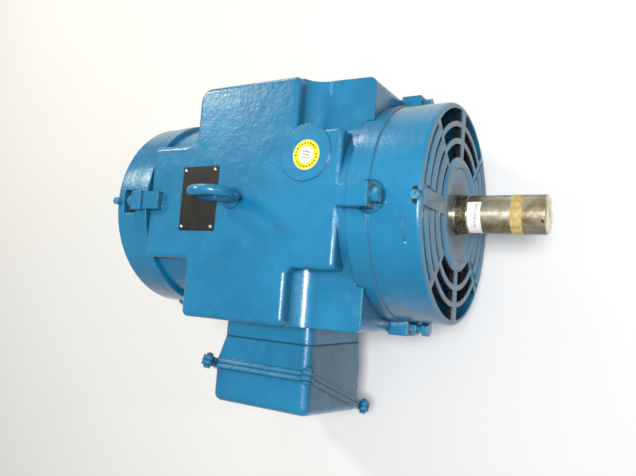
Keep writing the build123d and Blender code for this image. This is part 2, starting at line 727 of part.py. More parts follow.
def box_section(y, left, bottom, inset):
    """Rounded cross-section of the conduit box at y."""
    right = box_x[1]
    top = box_z[1]
    with BuildSketch(side_plane(y)) as section:
        with Locations(((left + right) / 2, (bottom + top) / 2)):
            RectangleRounded(right - left - 2 * inset, top - bottom - 2 * inset,
                             box_corner - inset)
    return section.sketch


def box_volume(inset, start_y):
    """Filled conduit box, flaring from its seat and then straight, before it is cut."""
    small = box_section(start_y, box_x[0], box_z[0], inset)
    large = box_section(flare_end_y, box_flare_x, box_flare_z, inset)
    with BuildPart() as volume:
        loft([small.face(), large.face()])
        extrude(large, amount=140)
    return volume.part


def joint_rim(offset, thickness):
    """Flat rim with four ears on the sloping joint, open over the box's interior."""
    width = box_x[1] - box_flare_x
    ear_spots = [(sx * (width / 2 + 5), joint_centre_v + sy * (joint_half_length + 12))
                 for sx in (-1, 1) for sy in (-1, 1)]
    with BuildPart() as rim:
        with BuildSketch(joint_plane.offset(offset)) as outline:
            with Locations((0, joint_centre_v)):
                RectangleRounded(width + 12, 2 * joint_half_length + 12, box_corner + 4)
            with Locations(*ear_spots):
                Circle(ear_radius)
            with Locations((0, joint_centre_v)):
                RectangleRounded(width - 2 * box_wall, 2 * (joint_half_length - box_wall),
                                 box_corner - box_wall, mode=Mode.SUBTRACT)
            with Locations(*ear_spots):
                Circle(4.2, mode=Mode.SUBTRACT)
        extrude(outline.sketch, amount=thickness)
    return rim.part, ear_spots


body_rim, ear_spots = joint_rim(-rim_thickness, rim_thickness)
gasket_rim = joint_rim(0, gasket_thickness)[0]
cover_rim = joint_rim(gasket_thickness, rim_thickness)[0]

with BuildPart() as conduit_box_body:
    add(box_volume(0, seat_y))
    split(bisect_by=joint_plane, keep=Keep.BOTTOM)
    add(box_volume(box_wall, seat_y - box_wall), mode=Mode.SUBTRACT)
    add(body_rim)
    with BuildSketch(side_plane(seat_y + 1)) as seat_cut:
        with Locations(((box_opening_x[0] + box_opening_x[1]) / 2,
                        (box_opening_z[0] + box_opening_z[1]) / 2)):
            RectangleRounded(box_opening_x[1] - box_opening_x[0],
                             box_opening_z[1] - box_opening_z[0], 10)
        with Locations(*seat_screw_spots):
            Circle(4.4)
        with Locations(ground_screw_spot):
            Circle(3.0)
    extrude(seat_cut.sketch, amount=box_wall + 2, mode=Mode.SUBTRACT)
    with BuildSketch(Plane.XY.offset(axis_z + box_flare_z - 4)) as conduit_hole:
        with Locations(entry_hole):
            Circle(entry_radius)
    extrude(conduit_hole.sketch, amount=20, mode=Mode.SUBTRACT)
save(conduit_box_body.part, "conduit_box_body")

with BuildPart() as conduit_box_cover:
    add(box_volume(0, seat_y))
    split(bisect_by=cover_plane, keep=Keep.BOTTOM)
    outer_edges = conduit_box_cover.faces().sort_by(Axis.Y)[0].edges()
    fillet(outer_edges, 17)
    split(bisect_by=joint_plane.offset(gasket_thickness), keep=Keep.TOP)
    with BuildPart(mode=Mode.PRIVATE) as cover_hollow:
        add(box_volume(box_wall, seat_y))
        split(bisect_by=cover_plane.offset(-box_wall), keep=Keep.BOTTOM)
    add(cover_hollow.part, mode=Mode.SUBTRACT)
    add(cover_rim)
save(conduit_box_cover.part, "conduit_box_cover")

save(gasket_rim, "cover_gasket")

with BuildPart() as neck_gasket:
    with BuildSketch(side_plane(neck_y)) as gasket_outline:
        with Locations(((box_x[0] + box_x[1]) / 2, (box_z[0] + box_z[1]) / 2)):
            RectangleRounded(box_x[1] - box_x[0] - 1, box_z[1] - box_z[0] - 1, box_corner)
        with Locations(((box_opening_x[0] + box_opening_x[1]) / 2,
                        (box_opening_z[0] + box_opening_z[1]) / 2)):
            RectangleRounded(box_opening_x[1] - box_opening_x[0],
                             box_opening_z[1] - box_opening_z[0], 10, mode=Mode.SUBTRACT)
        with Locations(*seat_screw_spots):
            Circle(4.4, mode=Mode.SUBTRACT)
    extrude(gasket_outline.sketch, amount=neck_y - seat_y)
save(neck_gasket.part, "neck_gasket")

with BuildPart() as cover_screws:
    with BuildSketch(joint_plane.offset(gasket_thickness + rim_thickness)) as heads:
        with Locations(*ear_spots):
            RegularPolygon(8.0, 6)
    extrude(heads.sketch, amount=6)
    with BuildSketch(joint_plane.offset(-rim_thickness - 7)) as shanks:
        with Locations(*ear_spots):
            Circle(4.0)
    extrude(shanks.sketch, amount=gasket_thickness + 2 * rim_thickness + 8)
save(cover_screws.part, "cover_screws")

with BuildPart() as cover_nuts:
    with BuildSketch(joint_plane.offset(-rim_thickness)) as nuts:
        with Locations(*ear_spots):
            RegularPolygon(7.6, 6)
            Circle(4.0, mode=Mode.SUBTRACT)
    extrude(nuts.sketch, amount=-5.5)
save(cover_nuts.part, "cover_nuts")

with BuildPart() as box_mounting_screws:
    with BuildSketch(side_plane(seat_y - box_wall)) as screw_heads:
        with Locations(*seat_screw_spots):
            RegularPolygon(7.5, 6)
    extrude(screw_heads.sketch, amount=5)
    with BuildSketch(side_plane(neck_y + 16)) as screw_shanks:
        with Locations(*seat_screw_spots):
            Circle(4.0)
    extrude(screw_shanks.sketch, amount=neck_y + 16 - seat_y + box_wall)
save(box_mounting_screws.part, "box_mounting_screws")

with BuildPart() as ground_screw:
    with BuildSketch(side_plane(seat_y - box_wall)) as ground_head:
        with Locations(ground_screw_spot):
            RegularPolygon(6.5, 6)
    extrude(ground_head.sketch, amount=4)
    with BuildSketch(side_plane(seat_y)) as ground_shank:
        with Locations(ground_screw_spot):
            Circle(3.0)
    extrude(ground_shank.sketch, amount=box_wall + 1)
save(ground_screw.part, "ground_screw")


# ---------------------------------------------------------------- motor leads
def lead(points, radius):
    """One insulated lead swept along a smooth route."""
    with BuildPart() as wire:
        with BuildLine() as route:
            Spline(*points)
        with BuildSketch(Plane(origin=route.wires()[0] @ 0, z_dir=route.wires()[0] % 0)) as face:
            Circle(radius)
        sweep()
    return wire.part


with BuildPart() as motor_leads:
    add(lead([(150, -167, axis_z), (132, -196, axis_z), (100, -213, axis_z),
              (40, -222, axis_z), (20, -262, axis_z), (20, -300, axis_z)], 6.5))
    for index in range(6):
        spread = (index - 2.5) * 15.0
        with BuildSketch(side_plane(-300 - 4)) as lug_disc:
            with Locations((20 + 2.2 * spread, 26 + 6 * (index % 2))):
                Circle(6.5)
                Circle(3, mode=Mode.SUBTRACT)
        extrude(lug_disc.sketch, amount=2)
save(motor_leads.part, "motor_leads")
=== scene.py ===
"""Looks for the foot-mounted electric motor: paint, metal, dust, small trim, light and camera."""
import json
import math
import random

import bmesh
import bpy
from mathutils import Matrix, Vector


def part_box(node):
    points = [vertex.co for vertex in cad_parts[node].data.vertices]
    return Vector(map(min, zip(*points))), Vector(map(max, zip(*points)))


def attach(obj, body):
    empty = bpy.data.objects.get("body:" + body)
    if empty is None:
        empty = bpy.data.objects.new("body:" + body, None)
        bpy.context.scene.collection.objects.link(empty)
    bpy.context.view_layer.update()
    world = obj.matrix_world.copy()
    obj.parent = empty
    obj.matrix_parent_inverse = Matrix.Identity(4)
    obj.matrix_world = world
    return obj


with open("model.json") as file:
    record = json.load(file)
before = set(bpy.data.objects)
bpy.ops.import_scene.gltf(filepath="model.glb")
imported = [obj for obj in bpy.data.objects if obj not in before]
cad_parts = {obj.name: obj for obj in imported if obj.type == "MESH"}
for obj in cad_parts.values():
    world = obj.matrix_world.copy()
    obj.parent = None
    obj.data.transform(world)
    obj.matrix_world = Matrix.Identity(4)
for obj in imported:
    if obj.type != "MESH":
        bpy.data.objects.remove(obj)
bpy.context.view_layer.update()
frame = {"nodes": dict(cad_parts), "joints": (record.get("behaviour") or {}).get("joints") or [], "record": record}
nodes = frame["nodes"]

random.seed(405)

# ------------------------------------------------------------------ places taken from the frame
STATIC_BODY = "stator_assembly"
ROTOR_BODY = "rotor_assembly"
SPIN = next(joint for joint in frame["joints"] if joint["name"] == "shaft_spin")
AXIS_Z = SPIN["pos_m"][2]
SHAFT_MOUNT = next(m for m in frame["record"]["mounts"] if m["name"] == "shaft_extension")
SHAFT_RADIUS = SHAFT_MOUNT["dims"]["r_mm"] / 1000
LIP_CROWN = 0.006                   # the grille's lip stands this far off the plate
DRIVE_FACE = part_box("drive_end_bracket")[1].x - LIP_CROWN
REAR_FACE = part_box("opposite_end_bracket")[0].x + LIP_CROWN
BELL_INNER_RADIUS = 0.2039
STICKER_LOW, STICKER_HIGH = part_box("inspection_sticker")
PLUG_LOW, PLUG_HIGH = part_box("drive_end_grease_plug")
FRAME_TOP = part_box("nameplate")[0].z


# ------------------------------------------------------------------ node graph helper
class Graph:
    """One material's node tree, built by short calls that return output sockets."""

    def __init__(self, name):
        self.material = bpy.data.materials.new(name)
        self.material.use_nodes = True
        self.tree = self.material.node_tree
        self.tree.nodes.clear()
        self.output = self.tree.nodes.new("ShaderNodeOutputMaterial")
        self.shader = self.tree.nodes.new("ShaderNodeBsdfPrincipled")
        self.tree.links.new(self.shader.outputs["BSDF"], self.output.inputs["Surface"])
        self.place = self.tree.nodes.new("ShaderNodeTexCoord").outputs["Object"]

    def put(self, socket, value):
        """Link a socket or set a plain value."""
        if isinstance(value, bpy.types.NodeSocket):
            self.tree.links.new(value, socket)
        else:
            socket.default_value = value

    def set(self, **values):
        """Set or link inputs of the Principled shader, such as Base_Color or Roughness."""
        for key, value in values.items():
            self.put(self.shader.inputs[key.replace("_", " ")], value)

    def math(self, operation, a, b=0.0, clamp=False):
        node = self.tree.nodes.new("ShaderNodeMath")
        node.operation = operation
        node.use_clamp = clamp
        self.put(node.inputs[0], a)
        self.put(node.inputs[1], b)
        return node.outputs[0]

    def vector(self, operation, a, b=(0.0, 0.0, 0.0)):
        node = self.tree.nodes.new("ShaderNodeVectorMath")
        node.operation = operation
        self.put(node.inputs[0], a)
        self.put(node.inputs[1], b)
        scalar = operation in ("LENGTH", "DISTANCE", "DOT_PRODUCT")
        return node.outputs["Value"] if scalar else node.outputs["Vector"]

    def mix(self, factor, a, b, blend="MIX"):
        node = self.tree.nodes.new("ShaderNodeMix")
        node.data_type = "RGBA"
        node.blend_type = blend
        node.clamp_factor = True
        self.put(node.inputs[0], factor)
        self.put(node.inputs[6], a)
        self.put(node.inputs[7], b)
        return node.outputs[2]

    def noise(self, scale, detail=3.0, roughness=0.5, stretch=(1, 1, 1), distortion=0.0):
        node = self.tree.nodes.new("ShaderNodeTexNoise")
        self.put(node.inputs["Vector"], self.vector("MULTIPLY", self.place, stretch))
        node.inputs["Scale"].default_value = scale
        node.inputs["Detail"].default_value = detail
        node.inputs["Roughness"].default_value = roughness
        node.inputs["Distortion"].default_value = distortion
        return node.outputs["Fac"]

    def window(self, value, low, high, out_low=0.0, out_high=1.0):
        """Smooth step of value from low to high."""
        node = self.tree.nodes.new("ShaderNodeMapRange")
        node.interpolation_type = "SMOOTHSTEP"
        self.put(node.inputs["Value"], value)
        node.inputs["From Min"].default_value = low
        node.inputs["From Max"].default_value = high
        node.inputs["To Min"].default_value = out_low
        node.inputs["To Max"].default_value = out_high
        return node.outputs["Result"]

    def normal_part(self, axis):
        """One component of the surface normal in the object's own frame."""
        geometry = self.tree.nodes.new("ShaderNodeTexCoord").outputs["Normal"]
        split = self.tree.nodes.new("ShaderNodeSeparateXYZ")
        self.put(split.inputs[0], geometry)
        return split.outputs[axis]

    def place_part(self, axis):
        split = self.tree.nodes.new("ShaderNodeSeparateXYZ")
        self.put(split.inputs[0], self.place)
        return split.outputs[axis]

    def crevice(self, distance):
        """1 in the open, lower in corners and gaps."""
        node = self.tree.nodes.new("ShaderNodeAmbientOcclusion")
        node.samples = 6
        node.inputs["Distance"].default_value = distance
        return node.outputs["AO"]

    def bumps(self, layers, soft_edge=0.0):
        """Stack bump layers, each (height socket, strength, depth in metres)."""
        previous = None
        if soft_edge > 0:
            bevel = self.tree.nodes.new("ShaderNodeBevel")
            bevel.samples = 4
            bevel.inputs["Radius"].default_value = soft_edge
            previous = bevel.outputs["Normal"]
        for height, strength, depth in layers:
            bump = self.tree.nodes.new("ShaderNodeBump")
            bump.inputs["Strength"].default_value = strength
            bump.inputs["Distance"].default_value = depth
            self.put(bump.inputs["Height"], height)
            if previous is not None:
                self.put(bump.inputs["Normal"], previous)
            previous = bump.outputs["Normal"]
        self.put(self.shader.inputs["Normal"], previous)


def rgb(red, green, blue):
    """Linear colour from 0-255 display values."""
    def linear(value):
        value = value / 255
        return value / 12.92 if value <= 0.04045 else ((value + 0.055) / 1.055) ** 2.4
    return (linear(red), linear(green), linear(blue), 1.0)


# ------------------------------------------------------------------ materials
BLUE = rgb(24, 124, 168)
BLUE_DEEP = rgb(16, 110, 152)
BLUE_PALE = rgb(52, 146, 182)
BLUE_SHADE = rgb(6, 52, 86)
SPECK = rgb(180, 205, 212)
DUST = rgb(108, 106, 98)
SOOT_AND_SHADE = rgb(34, 52, 60)
GRIME_AND_SHADE = rgb(34, 30, 26)
# dark brown for grease stains, and for the painted shade behind the grille
RUST = rgb(96, 62, 44)


def paint_chips(graph, spots):
    """Small irregular marks where the enamel is knocked off."""
    ragged = graph.math("MULTIPLY", graph.noise(260, 3), 0.006)
    total = 0.0
    for x, y, size in spots:
        distance = graph.vector("DISTANCE", graph.place, (x, y, FRAME_TOP))
        edge = graph.math("ADD", distance, ragged)
        total = graph.math("ADD", total, graph.window(edge, size + 0.001, size + 0.003, 1, 0))
    return graph.math("MINIMUM", total, 1.0)


def blue_enamel(name, face_dust=0.0, face_soot_and_shade=0.0, chips=(), grime_points=(), grille_faces=()):
    """Thick glossy enamel brushed over a sand casting, dusty on the faces that caught dust, with painted shade in
    corners and behind a grille, and painted shade, partly soot, on faces turned to the sides.
    """
    graph = Graph(name)
    broad = graph.noise(5.5, 4, 0.6)
    cloud = graph.noise(28, 4, 0.6)
    colour = graph.mix(graph.window(broad, 0.35, 0.68), BLUE_DEEP, BLUE)
    colour = graph.mix(graph.window(cloud, 0.55, 0.80, 0.0, 0.25), colour, BLUE_PALE)
    # painted shade: the blue darkens towards a deep shade colour in corners and gaps, from the ambient occlusion
    painted_corner_shade = graph.window(graph.crevice(0.025), 0.2, 0.8, 0.75, 0.0)
    colour = graph.mix(painted_corner_shade, colour, BLUE_SHADE)
    # painted shade, partly soot: faces turned to ±Y, and faces turned to +X as far as the face setting allows, are
    # darkened towards a dark grey-blue
    side = graph.math("ABSOLUTE", graph.normal_part(1))
    patchy = graph.window(graph.noise(14, 5, 0.65), 0.3, 0.7, 0.7, 1.0)
    soot_and_shade = graph.math("MAXIMUM", graph.window(side, 0.70, 1.0, 0.0, 0.60),
                      graph.window(graph.normal_part(0), 0.70, 0.98, 0.0, face_soot_and_shade))
    soot_and_shade = graph.math("MULTIPLY", soot_and_shade, patchy)
    colour = graph.mix(soot_and_shade, colour, SOOT_AND_SHADE)
    dust = graph.window(graph.normal_part(0), 0.45, 0.97, 0.0, face_dust)
    dust = graph.math("MULTIPLY", dust, patchy)
    colour = graph.mix(dust, colour, DUST)
    specks = graph.window(graph.noise(330, 2, 0.7), 0.71, 0.76, 0.0, 0.30)
    colour = graph.mix(specks, colour, SPECK)
    rough = graph.math("ADD", 0.24, graph.math("MULTIPLY", dust, 0.5))
    rough = graph.math("ADD", rough, graph.window(cloud, 0.3, 0.8, 0.0, 0.12))
    for x, y, z, size in grime_points:
        ragged = graph.math("MULTIPLY", graph.noise(160, 3), 0.016)
        distance = graph.math("ADD", graph.vector("DISTANCE", graph.place, (x, y, z)), ragged)
        stain = graph.window(distance, size, size + 0.006, 0.92, 0.0)
        colour = graph.mix(stain, colour, GRIME_AND_SHADE)
        rough = graph.math("ADD", rough, graph.math("MULTIPLY", stain, 0.1))
    if chips:
        chipped = paint_chips(graph, chips)
        colour = graph.mix(chipped, colour, RUST)
        rough = graph.math("ADD", rough, graph.math("MULTIPLY", chipped, 0.4))
    # painted shade: the walls seen behind the grille are darkened towards the dark brown
    if grille_faces:
        colour = graph.mix(inside_bell(graph, *grille_faces), colour, GRIME_AND_SHADE)
    graph.set(Base_Color=colour, Roughness=rough)
    graph.shader.inputs["Coat Weight"].default_value = 0.3
    graph.shader.inputs["Coat Roughness"].default_value = 0.12
    graph.bumps([(graph.noise(38, 3), 0.28, 0.004), (graph.noise(170, 3), 0.30, 0.0012),
                 (graph.noise(420, 2), 0.10, 0.0005)], soft_edge=0.005)
    return graph.material


def inside_bell(graph, inner_radius, rear_x, front_x):
    """1 on the walls behind a grille, which are darkened there as painted shade, 0 on the outside of the bell."""
    across = graph.vector("MULTIPLY", graph.vector("SUBTRACT", graph.place, (0, 0, AXIS_Z)),
                          (0, 1, 1))
    radius = graph.vector("LENGTH", across)
    within = graph.window(radius, inner_radius - 0.0012, inner_radius - 0.0002, 1.0, 0.0)
    along = graph.math("ABSOLUTE", graph.place_part(0))
    low, high = sorted((abs(rear_x), abs(front_x)))
    behind = graph.window(along, high - 0.004, high, 1.0, 0.0)
    beyond = graph.window(along, low - 0.03, low, 0.0, 1.0)
    flat = graph.window(graph.math("ABSOLUTE", graph.normal_part(0)), 0.5, 0.8, 1.0, 0.6)
    return graph.math("MULTIPLY", graph.math("MULTIPLY", within, behind),
                      graph.math("MULTIPLY", beyond, flat))


def tarnished_steel(name):
    """Turned shaft steel with brownish oil film, ring marks and painted shade on its flanks."""
    graph = Graph(name)
    rings = graph.noise(900, 3, 0.6, stretch=(1, 0.02, 0.02))
    film = graph.noise(22, 5, 0.65, stretch=(1, 1, 1), distortion=0.6)
    patches = graph.noise(60, 4, 0.7)
    colour = graph.mix(graph.window(film, 0.35, 0.7), rgb(236, 228, 204), rgb(168, 146, 104))
    colour = graph.mix(graph.window(patches, 0.58, 0.75, 0, 0.5), colour, rgb(92, 72, 48))
    # painted shade: the shaft's flanks facing ±Y are darkened to dark brown
    painted_flank_shade = graph.window(graph.math("ABSOLUTE", graph.normal_part(1)), 0.55, 0.98, 0.0, 0.85)
    colour = graph.mix(painted_flank_shade, colour, rgb(70, 58, 40))
    glints = graph.window(graph.noise(420, 2, 0.7), 0.66, 0.72, 0.0, 0.8)
    colour = graph.mix(glints, colour, rgb(250, 248, 240))
    rough = graph.math("ADD", graph.window(patches, 0.3, 0.8, 0.20, 0.42),
                       graph.math("MULTIPLY", rings, 0.12))
    graph.set(Base_Color=colour, Roughness=rough, Metallic=1.0)
    graph.bumps([(rings, 0.2, 0.0004), (patches, 0.15, 0.0006)], soft_edge=0.001)
    return graph.material


def plain_metal(name, light, dark, roughness=0.35, metallic=1.0, scale=90.0, soft_edge=0.0008):
    """Bare metal with stains, for screws, races and other small parts."""
    graph = Graph(name)
    stain = graph.noise(scale, 4, 0.65)
    scratch = graph.noise(scale * 6, 2, 0.5, stretch=(0.2, 1, 1))
    colour = graph.mix(graph.window(stain, 0.35, 0.7), light, dark)
    rough = graph.math("ADD", roughness, graph.math("MULTIPLY", scratch, 0.2))
    graph.set(Base_Color=colour, Roughness=rough, Metallic=metallic)
    graph.bumps([(scratch, 0.12, 0.0003), (stain, 0.15, 0.0006)], soft_edge=soft_edge)
    return graph.material


def laminations(name):
    """Stacked electrical sheets: fine dark lines across the shaft."""
    graph = Graph(name)
    wave = graph.tree.nodes.new("ShaderNodeTexWave")
    wave.bands_direction = "X"
    wave.inputs["Scale"].default_value = 320
    graph.put(wave.inputs["Vector"], graph.place)
    varnish = graph.noise(30, 4)
    colour = graph.mix(wave.outputs["Fac"], rgb(46, 44, 44), rgb(104, 100, 98))
    colour = graph.mix(graph.window(varnish, 0.4, 0.7, 0, 0.5), colour, rgb(78, 46, 28))
    graph.set(Base_Color=colour, Metallic=0.6, Roughness=graph.window(varnish, 0.3, 0.8, 0.35, 0.6))
    graph.bumps([(wave.outputs["Fac"], 0.4, 0.0004)])
    return graph.material


def coil_varnish(name):
    """Varnished copper turns laid round the bore, laced with tape."""
    graph = Graph(name)
    strands = graph.noise(240, 3, 0.6, stretch=(1.6, 0.35, 0.35), distortion=0.8)
    cover = graph.noise(18, 3)
    colour = graph.mix(graph.window(strands, 0.35, 0.65), rgb(70, 26, 14), rgb(166, 84, 44))
    colour = graph.mix(graph.window(cover, 0.55, 0.7, 0, 0.6), colour, rgb(120, 96, 62))
    graph.set(Base_Color=colour, Roughness=graph.window(strands, 0.3, 0.7, 0.22, 0.45))
    graph.bumps([(strands, 0.8, 0.002)])
    return graph.material


def matt_sheet(name, light, dark, roughness=0.7, scale=160.0):
    """Gasket, rubber and printed paper: a soft fibrous surface."""
    graph = Graph(name)
    fibres = graph.noise(scale, 4, 0.7)
    colour = graph.mix(graph.window(fibres, 0.35, 0.7), light, dark)
    graph.set(Base_Color=colour, Roughness=graph.window(fibres, 0.2, 0.8, roughness - 0.1, roughness + 0.1))
    graph.bumps([(fibres, 0.3, 0.0005)])
    return graph.material


def black_plate(name):
    """Anodised black plate with dust and scratches."""
    graph = Graph(name)
    wipe = graph.noise(46, 4, 0.6, stretch=(1, 0.35, 1))
    dust = graph.window(graph.noise(260, 3, 0.7), 0.60, 0.78, 0.0, 0.12)
    colour = graph.mix(graph.window(wipe, 0.4, 0.75, 0, 0.5), rgb(6, 7, 8), rgb(17, 19, 21))
    colour = graph.mix(dust, colour, rgb(110, 116, 118))
    graph.set(Base_Color=colour, Roughness=graph.window(wipe, 0.3, 0.7, 0.38, 0.55))
    graph.bumps([(wipe, 0.08, 0.0004)], soft_edge=0.0006)
    return graph.material


ENAMEL_SPOTS = [(-0.0456, 0.1281, 0.0022), (-0.0029, 0.1291, 0.0028), (0.0953, -0.0496, 0.0030),
                (0.1366, -0.0438, 0.0024), (0.0600, 0.0300, 0.0010), (-0.0900, -0.1500, 0.0012)]


enamel_frame = blue_enamel("frame_enamel", face_soot_and_shade=0.50, chips=ENAMEL_SPOTS)
PLUG_SPOT = ((PLUG_LOW.x + PLUG_HIGH.x) / 2 + 0.006, 0.003, PLUG_HIGH.z - 0.011)
enamel_bell = blue_enamel("bell_enamel", face_dust=0.72, grime_points=[(*PLUG_SPOT, 0.011)],
                          grille_faces=(BELL_INNER_RADIUS, 0.285, DRIVE_FACE))
enamel_rear_bell = blue_enamel("rear_bell_enamel",
                               grille_faces=(BELL_INNER_RADIUS, 0.280, REAR_FACE))
enamel_box = blue_enamel("conduit_box_enamel", face_soot_and_shade=0.80)
enamel_bolt = blue_enamel("fastener_enamel", face_dust=0.2)
shaft_metal = tarnished_steel("shaft_steel")
slinger_metal = plain_metal("slinger_metal", rgb(140, 134, 110), rgb(70, 62, 46), 0.38, 1.0, 120)
screw_metal = plain_metal("plain_steel", rgb(176, 176, 172), rgb(116, 112, 104))
greasy_paint = plain_metal("greasy_paint", rgb(70, 150, 190), rgb(40, 86, 112), 0.3, 0.0, 140)
race_metal = plain_metal("bearing_steel", rgb(206, 206, 208), rgb(160, 160, 162), 0.16)
brass_metal = plain_metal("cage_brass", rgb(206, 170, 96), rgb(140, 104, 48), 0.3)
rivet_metal = plain_metal("rivet_metal", rgb(226, 222, 206), rgb(182, 174, 150), 0.28, 1.0, 400)
aluminium = plain_metal("cast_aluminium", rgb(196, 196, 198), rgb(146, 146, 148), 0.45)
# painted shade on the sheet-steel air baffle: it is dark grey so that the inside of the bell behind the grille
# looks dark
shaded_baffle_metal = plain_metal("dark_shaded_baffle", rgb(58, 66, 72), rgb(34, 38, 42), 0.6, 0.3)
core_metal = laminations("laminations")
copper = coil_varnish("winding_varnish")
gasket_paper = matt_sheet("gasket", rgb(8, 50, 76), rgb(14, 70, 100))
rubber = matt_sheet("lead_jacket", rgb(18, 18, 18), rgb(34, 33, 32), 0.55, 240)
green_metal = plain_metal("ground_screw_green", rgb(40, 132, 66), rgb(22, 84, 40), 0.4, 0.4)
plate_black = black_plate("nameplate_black")
sticker_paper = matt_sheet("sticker_paper", rgb(236, 234, 220), rgb(226, 222, 204), 0.45, 300)

FINISHES = {
    "frame_housing": enamel_frame,
    "drive_end_bracket": enamel_bell,
    "opposite_end_bracket": enamel_rear_bell,
    "conduit_box_body": enamel_box,
    "conduit_box_cover": enamel_box,
    "eye_bolt": enamel_frame,
    "shaft": shaft_metal,
    "nameplate": plate_black,
    "nameplate_rivets": rivet_metal,
    "inspection_sticker": sticker_paper,
    "stator_winding": copper,
    "rotor_cage": aluminium,
    "motor_leads": rubber,
    "ground_screw": green_metal,
    "shaft_slinger": slinger_metal,
}
FINISH_RULES = [
    ("gasket", gasket_paper), ("grease_plug", greasy_paint), ("bracket_bolts", enamel_bolt),
    ("bolt_washers", enamel_bolt), ("cover_", enamel_bolt), ("inner_cap", enamel_rear_bell),
    ("core", core_metal), ("race", race_metal), ("balls", race_metal), ("cage", brass_metal),
    ("baffle_screws", screw_metal), ("air_baffle", shaded_baffle_metal), ("screws", screw_metal),
    ("spring", screw_metal),
]


def finish_for(name):
    """Material of a CAD node."""
    if name in FINISHES:
        return FINISHES[name]
    return next(material for part, material in FINISH_RULES if part in name)


for name, item in nodes.items():
    item.data.materials.clear()
    item.data.materials.append(finish_for(name))


# ------------------------------------------------------------------ small trim in mesh code
def mesh_piece(name, mesh, material, body):
    """Link a finished mesh as a piece that rides on a body."""
    piece = bpy.data.objects.new(name, mesh)
    bpy.context.scene.collection.objects.link(piece)
    piece.data.materials.append(material)
    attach(piece, body)
    return piece


def wrapped_patch(name, x_range, angle_range, radius, thickness, wobble, steps=(14, 40)):
    """A thin sheet wrapped on the shaft, with uneven edges; angles are from +Y towards +Z."""
    mesh = bpy.data.meshes.new(name)
    builder = bmesh.new()
    along, around = steps
    rows = []
    for i in range(along + 1):
        row = []
        for j in range(around + 1):
            u = i / along
            v = j / around
            edge = wobble * (math.sin(9 * v + 2.0) + 0.5 * math.sin(23 * v))
            x = x_range[0] + u * (x_range[1] - x_range[0]) + edge * (2 * u - 1)
            angle = math.radians(angle_range[0] + v * (angle_range[1] - angle_range[0]))
            lift = radius + thickness * (1.0 + 0.25 * math.sin(31 * v + 5 * u))
            row.append(builder.verts.new((x, lift * math.cos(angle), AXIS_Z + lift * math.sin(angle))))
        rows.append(row)
    for i in range(along):
        for j in range(around):
            builder.faces.new((rows[i][j], rows[i + 1][j], rows[i + 1][j + 1], rows[i][j + 1]))
    builder.normal_update()
    builder.to_mesh(mesh)
    builder.free()
    for face in mesh.polygons:
        face.use_smooth = True
    return mesh


mesh = wrapped_patch("masking_tape", (0.4775, 0.4985), (0, 352), SHAFT_RADIUS, 0.0003, 0.0008, (10, 120))
tape_paper = matt_sheet("masking_tape_paper", rgb(214, 190, 122), rgb(176, 146, 84), 0.6, 90)
mesh_piece("masking_tape", mesh, tape_paper, ROTOR_BODY)

mesh = wrapped_patch("shaft_label", (0.4005, 0.4255), (58, 168), SHAFT_RADIUS, 0.0003, 0.0003)
label_paper = matt_sheet("label_paper", rgb(244, 243, 238), rgb(232, 230, 222), 0.5, 200)
mesh_piece("shaft_label", mesh, label_paper, ROTOR_BODY)


def disc_ring(name, centre, inner, outer, height, segments=72):
    """Flat ring lying on the top face."""
    mesh = bpy.data.meshes.new(name)
    builder = bmesh.new()
    loops = []
    for radius in (inner, outer):
        loops.append([builder.verts.new((centre[0] + radius * math.cos(2 * math.pi * k / segments),
                                         centre[1] + radius * math.sin(2 * math.pi * k / segments),
                                         height)) for k in range(segments)])
    for k in range(segments):
        following = (k + 1) % segments
        builder.faces.new((loops[0][k], loops[1][k], loops[1][following], loops[0][following]))
    builder.normal_update()
    builder.to_mesh(mesh)
    builder.free()
    return mesh


sticker_centre = (STICKER_LOW + STICKER_HIGH) / 2
sticker_radius = (STICKER_HIGH.x - STICKER_LOW.x) / 2
sticker_yellow = matt_sheet("sticker_yellow", rgb(232, 218, 40), rgb(214, 198, 30), 0.4, 300)
mesh = disc_ring("sticker_ring", sticker_centre, sticker_radius * 0.56, sticker_radius * 0.985,
                 STICKER_HIGH.z + 0.00008)
mesh_piece("sticker_ring", mesh, sticker_yellow, STATIC_BODY)


def on_shaft(x, angle, radius):
    """Point on a cylinder round the shaft axis, the angle in degrees from +Y towards +Z."""
    turn = math.radians(angle)
    return (x, radius * math.cos(turn), AXIS_Z + radius * math.sin(turn))


def mesh_of_quads(name, quads):
    """One mesh from loose quads, each four points."""
    builder = bmesh.new()
    for quad in quads:
        builder.faces.new([builder.verts.new(point) for point in quad])
    mesh = bpy.data.meshes.new(name)
    builder.normal_update()
    builder.to_mesh(mesh)
    builder.free()
    return mesh


def bead_mesh(name, points, radius, sides=8):
    """Round bead along a line of points, tapering at both ends."""
    builder = bmesh.new()
    rings = []
    for index, point in enumerate(points):
        before = Vector(points[max(index - 1, 0)])
        after = Vector(points[min(index + 1, len(points) - 1)])
        along = (after - before).normalized()
        first = along.orthogonal().normalized()
        second = along.cross(first)
        share = index / (len(points) - 1)
        size = radius * (0.25 + 0.75 * math.sin(math.pi * share) ** 0.5)
        rings.append([builder.verts.new(Vector(point)
                                        + first * size * math.cos(2 * math.pi * k / sides)
                                        + second * size * math.sin(2 * math.pi * k / sides))
                      for k in range(sides)])
    for lower, upper in zip(rings, rings[1:]):
        for k in range(sides):
            following = (k + 1) % sides
            builder.faces.new((lower[k], lower[following], upper[following], upper[k]))
    builder.faces.new(rings[0][::-1])
    builder.faces.new(rings[-1])
    mesh = bpy.data.meshes.new(name)
    builder.normal_update()
    builder.to_mesh(mesh)
    builder.free()
    for face in mesh.polygons:
        face.use_smooth = True
    return mesh


